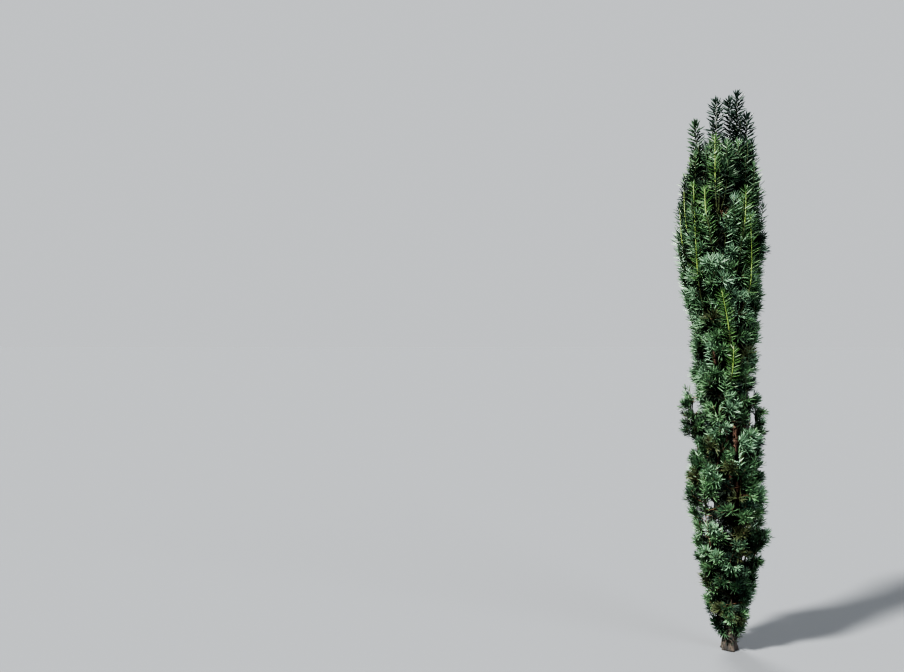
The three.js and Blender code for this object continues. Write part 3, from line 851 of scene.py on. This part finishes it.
def join(meshes):
    """Several vertex and face arrays as one."""
    vertices, faces, offset = [], [], 0
    for v, f in meshes:
        vertices.append(v)
        faces.append(f + offset)
        offset += len(v)
    return np.concatenate(vertices), np.concatenate(faces)


def add_object(name, data):
    item = bpy.data.objects.new(name, data)
    bpy.context.scene.collection.objects.link(item)
    return item


def add_piece(name, vertices, faces, materials, slots, smooth=False):
    """A mesh object in metres with a material for each face."""
    mesh = bpy.data.meshes.new(name)
    mesh.vertices.add(len(vertices))
    mesh.vertices.foreach_set("co", (vertices * MM).astype(np.float32).ravel())
    mesh.loops.add(3 * len(faces))
    mesh.loops.foreach_set("vertex_index", faces.astype(np.int32).ravel())
    mesh.polygons.add(len(faces))
    mesh.polygons.foreach_set("loop_start", np.arange(0, 3 * len(faces), 3, dtype=np.int32))
    mesh.polygons.foreach_set("use_smooth", np.full(len(faces), smooth))
    for material in materials:
        mesh.materials.append(material)
    mesh.polygons.foreach_set("material_index", np.asarray(slots, dtype=np.int32))
    mesh.update()
    mesh.validate()
    return add_object(name, mesh)


# Plain base colours, dealt out by spray, each with its roughness and its coat of gloss. The deepest two
# are painted shade, for the sprays deep in the crown and at its top.
NEEDLE_TONES = {
    "needle_painted_deep_shade": (0.0022, 0.0062, 0.0028, 0.75, 0.0),
    "needle_shade": (0.0050, 0.0150, 0.0095, 0.65, 0.0),
    "needle_dark": (0.014, 0.036, 0.016, 0.60, 0.03),
    "needle_mid": (0.050, 0.098, 0.048, 0.55, 0.05),
    "needle_blue": (0.086, 0.146, 0.094, 0.55, 0.05),
    "needle_fresh": (0.028, 0.064, 0.018, 0.55, 0.03),
    "needle_olive": (0.028, 0.036, 0.016, 0.60, 0.0),
}
# The percentage of each tone, in the order above, on the outer sprays of each kind of mass, on the
# feathers at the top of the crown and below, and on shoots with a bright stem. The top, the leaders and
# the high feathers take more of the two deepest tones, painted shade.
TONE_SHARES = {
    "foot": (6, 8, 44, 24, 2, 0, 16),
    "low": (0, 1, 13, 41, 40, 0, 5),
    "middle": (0, 0, 8, 42, 47, 0, 3),
    "upper": (0, 0, 3, 24, 73, 0, 0),
    "top": (0, 28, 46, 24, 2, 0, 0),
    "leader": (0, 80, 20, 0, 0, 0, 0),
    "tuft": (2, 2, 24, 44, 25, 0, 3),
    "high feather": (0, 20, 46, 30, 2, 2, 0),
    "feather": (0, 0, 16, 46, 36, 2, 0),
    "bright": (0, 0, 25, 0, 0, 75, 0),
}
HIGH = 1580  # above this height the crown has painted shade, darker tones as it is against the sky in the photo
STEPS = range(2, 5)  # the tones above that have a darker one of their hue before them
DARKER_SHARE = 0.2  # of the shoots of a spray in one of those tones that have the darker one
DEEP_SHARE = 0.8  # of the shoots deep in the crown that have the deepest tone, not the next; both are painted shade
TWIG_TONES = {
    "twig_brown": (0.080, 0.042, 0.024, 0.6, 0.03),
    "twig_olive": (0.026, 0.036, 0.012, 0.6, 0.02),
    "twig_new": (0.115, 0.165, 0.038, 0.6, 0.05),
}
BROWN, OLIVE, NEW = range(3)  # the places of those tones
NEW_GROWTH = {"middle": 0.05, "upper": 0.05, "top": 0.04}  # the share of feathers with the last
SHINE, COAT_SHINE, COAT_ROUGHNESS = 0.2, 3, 0.4  # of every plain colour, and more with its coat
MASSES_A_PIECE = 3
BARK_SEED, MASS_SEED = 7, 400  # of the draws for the bark, and for the first mass

# The bark's relief on each sort of limb: its sides, millimetres from ring to ring, and how far it
# stands out. Its flutes and its plates: how many waves, how often they go round, how long they are.
RELIEF = {
    "trunk": (48, 5.0, 2.4), "left_stem": (18, 5.0, 1.6), "bough": (10, 5.0, 1.2), "stalk": (6, 9.0, 0.8)
}
FLUTES, FLUTE_SHARE = (5, 4, 400), 0.8
PLATES, PLATE_SHARE, PLATE_EDGE = (14, 9, 22), 0.55, 4
WAVE_HEIGHT = 0.6

# The bark's colours from the cracks to the plates, above and at the ground, the heights in metres over
# which they change, its roughness in that order, and the pattern's stretch, size and depth.
BARK_COLORS = [
    (0.34, (0.018, 0.009, 0.007, 1)), (0.5, (0.078, 0.040, 0.027, 1)), (0.66, (0.118, 0.076, 0.055, 1))
]
# At the ground the bark is greyer, the foot's own colour, and darker, painted shade of the foliage.
FOOT_GREY_AND_PAINTED_SHADE = [(0.42, (0.002, 0.0016, 0.0012, 1)), (0.66, (0.034, 0.025, 0.018, 1))]
GREY_AND_SHADE_HEIGHTS, BARK_ROUGHNESS, BARK_STRETCH = (0.08, 0.4), (0.95, 0.7), (1, 1, 0.3)
BARK_PATTERN = {"Scale": 95, "Detail": 6, "Roughness": 0.65}
BARK_DEPTH = {"Strength": 0.5, "Distance": 0.0012}


def new_material(name):
    """A material and its shader."""
    material = bpy.data.materials.new(name)
    material.use_nodes = True
    return material, material.node_tree.nodes["Principled BSDF"]


def set_inputs(node, values):
    for socket, value in values.items():
        node.inputs[socket].default_value = value


def plain_material(name, red, green, blue, roughness, coat, shine=SHINE):
    """One base colour, with the shine of a leaf or of young bark where it has a coat."""
    material, shader = new_material(name)
    set_inputs(shader, {
        "Base Color": (red, green, blue, 1),
        "Roughness": roughness,
        "Coat Weight": coat,
        "Coat Roughness": COAT_ROUGHNESS,
        "Specular IOR Level": shine + COAT_SHINE * coat,
    })
    return material


def add_node(tree, kind, sources, values):
    """A shader node, with the outputs that feed its sockets and their plain values."""
    node = tree.nodes.new(f"ShaderNode{kind}")
    set_inputs(node, values)
    for socket, output in sources.items():
        tree.links.new(output, node.inputs[socket])
    return node


def ramp_of(tree, factor, stops):
    """A colour that changes with a factor between some stops."""
    node = add_node(tree, "ValToRGB", {"Fac": factor}, {})
    elements = node.color_ramp.elements
    elements[0].position, elements[1].position = stops[0][0], stops[-1][0]
    for position, _ in stops[1:-1]:
        elements.new(position)
    for element, (_, color) in zip(elements, stops):
        element.color = color
    return node.outputs["Color"]


def range_of(tree, value, source, target):
    """A value that goes over a range while another goes over its own."""
    ends = dict(zip(("From Min", "From Max", "To Min", "To Max"), (*source, *target)))
    return add_node(tree, "MapRange", {"Value": value}, ends).outputs["Result"]


def bark_material():
    """Flaky bark: red-brown plates on grey-brown, greyer towards the ground and darker there with
    painted shade.
    """
    material, shader = new_material("yew_bark")
    tree = material.node_tree
    place = tree.nodes.new("ShaderNodeTexCoord").outputs["Object"]
    stretched = add_node(tree, "Mapping", {"Vector": place}, {"Scale": BARK_STRETCH}).outputs["Vector"]
    plates = add_node(tree, "TexNoise", {"Vector": stretched}, BARK_PATTERN).outputs["Fac"]
    height = add_node(tree, "SeparateXYZ", {"Vector": place}, {}).outputs["Z"]
    color = tree.nodes.new("ShaderNodeMix")
    color.data_type = "RGBA"
    bump = add_node(tree, "Bump", {"Height": plates}, BARK_DEPTH)
    for output, socket in (
        (range_of(tree, height, GREY_AND_SHADE_HEIGHTS, (1, 0)), color.inputs["Factor"]),
        (ramp_of(tree, plates, BARK_COLORS), color.inputs["A"]),
        (ramp_of(tree, plates, FOOT_GREY_AND_PAINTED_SHADE), color.inputs["B"]),
        (color.outputs["Result"], shader.inputs["Base Color"]),
        (range_of(tree, plates, (0, 1), BARK_ROUGHNESS), shader.inputs["Roughness"]),
        (bump.outputs["Normal"], shader.inputs["Normal"]),
    ):
        tree.links.new(output, socket)
    return material


def waves(rng, count, most_turns, pitch):
    """A smooth uneven field over angle and height, from about -1 to 1."""
    turns = rng.integers(1, most_turns + 1, count)
    rates = rng.normal(0, 2 * math.pi / pitch, count)
    phases = rng.random(count) * 2 * math.pi

    def field(angle, z):
        parts = [np.cos(k * angle + m * z + p) for k, m, p in zip(turns, rates, phases)]
        return sum(parts) / math.sqrt(count / 2) * WAVE_HEIGHT

    return field


def bark_tube(limb, sides, pace, relief, rng, rooted=False):
    """A limb with the relief of its bark: shallow flutes, and plates with sharp edges. A rooted one
    has level rings and the lobes of its roots."""
    lengths = run_along(limb.path)
    count = max(LEAST_RINGS, int(lengths[-1] / pace))
    s = np.linspace(0, lengths[-1], count)
    path = rows_at(s, lengths, limb.path)
    radius = np.interp(s, lengths, limb.radius)[:, None]
    along = np.tile(UP, (count, 1)) if rooted else unit(np.gradient(path, axis=0))
    angle, ways = rings_round(along, sides)
    z = s[:, None]
    flutes = waves(rng, *FLUTES)(angle, z)
    plates = np.tanh(PLATE_EDGE * waves(rng, *PLATES)(angle, z))
    share = np.minimum(1, radius / TRUNK_FOOT)
    out = radius + relief * share * (FLUTE_SHARE * flutes + PLATE_SHARE * plates)
    if rooted:
        lobe = LOBE_DEPTH * np.exp(-z / LOBE_HEIGHT) * np.cos(ROOT_LOBES * angle + LOBE_TURN)
        out = out + radius * lobe
    return close_tube(path, path[:, None] + ways * out[..., None])


def dress(name, mesh, materials, slots, body_nodes, smooth=False):
    """Adds a piece that stands for some of the part's nodes."""
    piece = add_piece(name, *mesh, materials, slots, smooth)
    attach(piece, "root")
    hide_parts(*body_nodes)


def dress_in_bark(name, mesh, bark, body_nodes):
    dress(name, mesh, [bark], np.zeros(len(mesh[1])), body_nodes, smooth=True)


def add_stems(stems, bark, rng):
    """The trunk and the second stem."""
    for limb in stems:
        mesh = bark_tube(limb, *RELIEF[limb.name], rng, rooted=limb.name == "trunk")
        dress_in_bark(f"{limb.name}_bark", mesh, bark, [limb.name])


def stalk_of(mass):
    """The woody axis of a mass, which goes on from its bough's tip."""
    t = np.linspace(0, STALK_TO, STALK_POINTS)
    return Limb(mass.name, mass.axis(t), lerp(STALK_RADIUS, STALK_TIP, t / STALK_TO))


def add_boughs(kind, masses, bark, rng):
    """The boughs of a kind of mass, and the woody axes that they go on in."""
    boughs = [make_bough(mass) for mass in masses if mass.drop]
    parts = [bark_tube(limb, *RELIEF["bough"], rng) for limb in boughs]
    parts += [bark_tube(stalk_of(mass), *RELIEF["stalk"], rng) for mass in masses]
    names = [bough.name for bough in boughs] or [mass.name for mass in masses]
    dress_in_bark(f"boughs_{kind}", join(parts), bark, names)


def add_foliage(label, kind, group, space, materials):
    """The twigs and the needles of a few masses of one kind, as two pieces."""
    twigs, twig_tones = [], []
    needles, needle_tones = [], []
    for mass in group:
        rng = np.random.default_rng(MASS_SEED + mass.index)
        for spray in plan_sprays(mass, space, rng):
            tone = tone_of(kind, spray[0], rng)
            for shoot in spray:
                darker = tone in STEPS and rng.random() < DARKER_SHARE
                if not space.veils(shoot.path).any():
                    twigs.append(twig_mesh(shoot))
                    twig_tones.append(stem_tones(kind, shoot, *twigs[-1], rng))
                rows = needles_on(shoot, mass.habit.needle, space, rng)
                needles.append(deep_needle_mesh(rows) if shoot.deep else needle_mesh(rows))
                needle_tones.append(np.full(len(needles[-1][1]), tone - darker))
    names = [mass.name for mass in group]
    tones = np.concatenate(twig_tones)
    dress(f"twigs_{label}", join(twigs), materials["twigs"], tones, names, smooth=True)
    tones = np.concatenate(needle_tones)
    dress(f"needles_{label}", join(needles), materials["needles"], tones, names)


def twig_mesh(shoot):
    """The stem of a shoot."""
    look = LOOKS[shoot.look]
    radius = np.linspace(look.stem, SHOOT_TIP, len(shoot.path))
    return tube_mesh(shoot.path, radius, look.sides)


def stem_tones(kind, shoot, vertices, faces, rng):
    """The tone of each face of a shoot's stem, which is bright where it is this year's growth."""
    tone = OLIVE if rng.random() < LOOKS[shoot.look].olive else BROWN
    if shoot.kind == "feather" and rng.random() < NEW_GROWTH.get(kind, 0):
        tone = NEW
    if shoot.bright is None:
        return np.full(len(faces), tone)
    low, high = shoot.bright
    height = vertices[faces[:, 0], 2]
    return np.where((height > low) & (height < high), NEW, OLIVE)


def tone_of(kind, shoot, rng):
    """The tone of a spray: one of the two deepest, painted shade, where it is deep in the crown."""
    if shoot.deep:
        # painted shade for the sprays deep in the crown
        return int(rng.random() > DEEP_SHARE)
    is_high = kind == "leader" or shoot.path[len(shoot.path) // 2, 2] > HIGH
    if shoot.look == "bright":
        kind = "bright"
    elif shoot.kind == "feather":
        kind = "high feather" if is_high else "feather"
    elif kind == "top" and not is_high:
        kind = "upper"
    return rng.choice(len(NEEDLE_TONES), p=np.array(TONE_SHARES[kind]) / 100)


def add_camera():
    camera = add_object("camera", bpy.data.cameras.new("camera"))
    camera.data.lens = LENS
    camera.data.sensor_width = SENSOR
    camera.location = EYE
    camera.rotation_euler = (math.pi / 2 + TILT_UP, 0, TURN_LEFT)
    bpy.context.scene.camera = camera


def add_sun(name, way, width, strength, color):
    """A far lamp that shines along a direction, soft by its width in degrees."""
    lamp = bpy.data.lights.new(name, "SUN")
    lamp.angle, lamp.energy, lamp.color = math.radians(width), strength, color
    x, y, z = way
    turn = (math.atan2(math.hypot(x, y), -z), 0, math.atan2(-x, y))
    add_object(name, lamp).rotation_euler = turn


def add_floor():
    """A level floor, so wide that it runs into the surround."""
    corners = FLOOR_REACH / MM * np.array([(-1, -1, 0), (1, -1, 0), (1, 1, 0), (-1, 1, 0)])
    pale = plain_material("floor_pale", *FLOOR, FLOOR_ROUGHNESS, 0.0, shine=0.0)
    floor = add_piece("floor", corners, np.array([(0, 1, 2), (0, 2, 3)]), [pale], [0, 0])


def add_surround():
    world = bpy.data.worlds.new("surround")
    bpy.context.scene.world = world
    world.use_nodes = True
    light = {"Color": (*SURROUND, 1), "Strength": SURROUND_STRENGTH}
    set_inputs(world.node_tree.nodes["Background"], light)


def build():
    bpy.context.scene.view_settings.look = "AgX - Very High Contrast"
    add_camera()
    stems = [make_trunk(), make_left_stem()]
    masses = plan_masses(stems)
    space = Space(masses, stems)
    rng = np.random.default_rng(BARK_SEED)
    bark = bark_material()
    materials = {
        "twigs": [plain_material(name, *look) for name, look in TWIG_TONES.items()],
        "needles": [plain_material(name, *look) for name, look in NEEDLE_TONES.items()],
    }
    add_stems(stems, bark, rng)
    for kind in HABIT:
        group = [mass for mass in masses if mass.kind == kind]
        add_boughs(kind, group, bark, rng)
        for n in range(0, len(group), MASSES_A_PIECE):
            label = f"{kind}_{n // MASSES_A_PIECE + 1}"
            add_foliage(label, kind, group[n : n + MASSES_A_PIECE], space, materials)
    add_floor()
    add_surround()
    for name, look in SUNS.items():
        add_sun(name, *look)


build()
